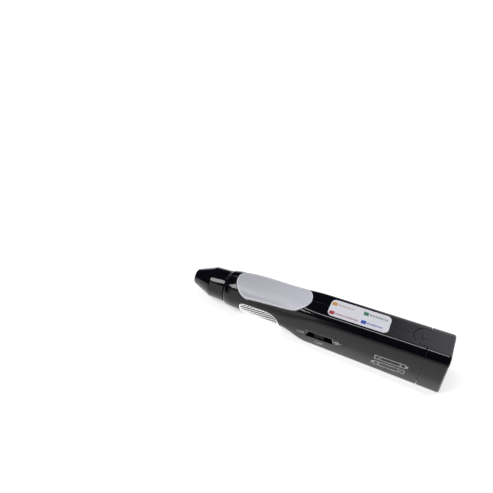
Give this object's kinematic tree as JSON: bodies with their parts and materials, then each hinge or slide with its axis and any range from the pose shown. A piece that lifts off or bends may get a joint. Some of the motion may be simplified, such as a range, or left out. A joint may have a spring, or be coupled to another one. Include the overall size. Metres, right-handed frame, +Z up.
{
  "type": "diamond_tester",
  "caption": "Hand-held diamond tester pen with a pull-off nose cap, sprung probe, long display lens, knurled grip plate, three-way slide switch and slide-off battery cap.",
  "frame": {"origin": "centre of the box around the pen, on the surface that it lies on", "axes": "+X from the nose tip to the battery cap, +Z up through the display lens, -Y is the side with the slide switch"},
  "size_m": [0.161, 0.0236, 0.0309],
  "materials": {
    "gloss_black": "high gloss black moulded plastic",
    "lens_white": "satin translucent white",
    "grip_metal": "bright plated, diamond knurl",
    "white_plastic": "matte white moulded plastic",
    "black_plastic": "matte black moulded plastic",
    "knob_grey": "matte dark grey, ribbed",
    "label_film": "satin printed film",
    "copper": "bare copper",
    "ceramic": "unglazed white ceramic",
    "rubber": "black nitrile",
    "spring_steel": "plated spring wire",
    "board_green": "solder mask",
    "led_white": "moulded lamp body",
    "uv_lamp": "clear violet epoxy",
    "brass": "bare spring brass",
    "cell_wrap": "plain printed sleeve over steel",
    "lead_red": "red insulation",
    "lead_black": "black insulation",
    "screw_steel": "blackened steel"
  },
  "bodies": {
    "housing": {"switch_side_shell": "gloss_black", "plain_side_shell": "gloss_black", "display_lens": "lens_white", "light_box": "white_plastic", "colour_label": "label_film", "grip_plate": "grip_metal", "grip_contact": "brass", "nose_holder": "black_plastic", "sealing_ring": "rubber", "probe_spring": "spring_steel", "probe_retainer": "black_plastic", "probe_lead": "lead_red", "uv_lamp": "uv_lamp", "uv_lamp_leads": "lead_black", "main_board": "board_green", "control_chip": "black_plastic", "buzzer": "black_plastic", "switch_case": "spring_steel", "battery_tray": "black_plastic", "upper_cell": "cell_wrap", "lower_cell": "cell_wrap", "upper_front_contact": "brass", "lower_front_contact": "brass", "front_spring": "spring_steel", "red_lead": "lead_red", "black_lead": "lead_black", "housing_screws": "screw_steel", "result_led_front": "led_white", "result_led_middle": "led_white", "result_led_rear": "led_white"},
    "nose_cap": {"nose_cap": "gloss_black"},
    "battery_cap": {"battery_cap": "gloss_black", "cap_bridge": "brass", "cap_spring": "spring_steel"},
    "switch_knob": {"switch_knob": "knob_grey"},
    "probe": {"probe_needle": "copper", "probe_sleeve": "ceramic", "probe_collar": "black_plastic", "probe_heater": "ceramic"}
  },
  "joints": [
    {"name": "nose_cap_pull", "type": "slide", "parent": "housing", "child": "nose_cap", "axis": [-0.9983, 0, -0.0577], "range_m": [0, 0.026]},
    {"name": "battery_cap_slide", "type": "slide", "parent": "housing", "child": "battery_cap", "axis": [0.9983, 0, 0.0577], "range_m": [0, 0.02]},
    {"name": "switch_slide", "type": "slide", "parent": "housing", "child": "switch_knob", "axis": [0.9983, 0, 0.0577], "range_m": [-0.003, 0.003]},
    {"name": "probe_travel", "type": "slide", "parent": "housing", "child": "probe", "axis": [0.9983, 0, 0.0577], "range_m": [0, 0.0015], "stiffness_N_per_m": 600, "springref_m": -0.001, "deforming": ["probe_spring", "probe_lead"]}
  ]
}
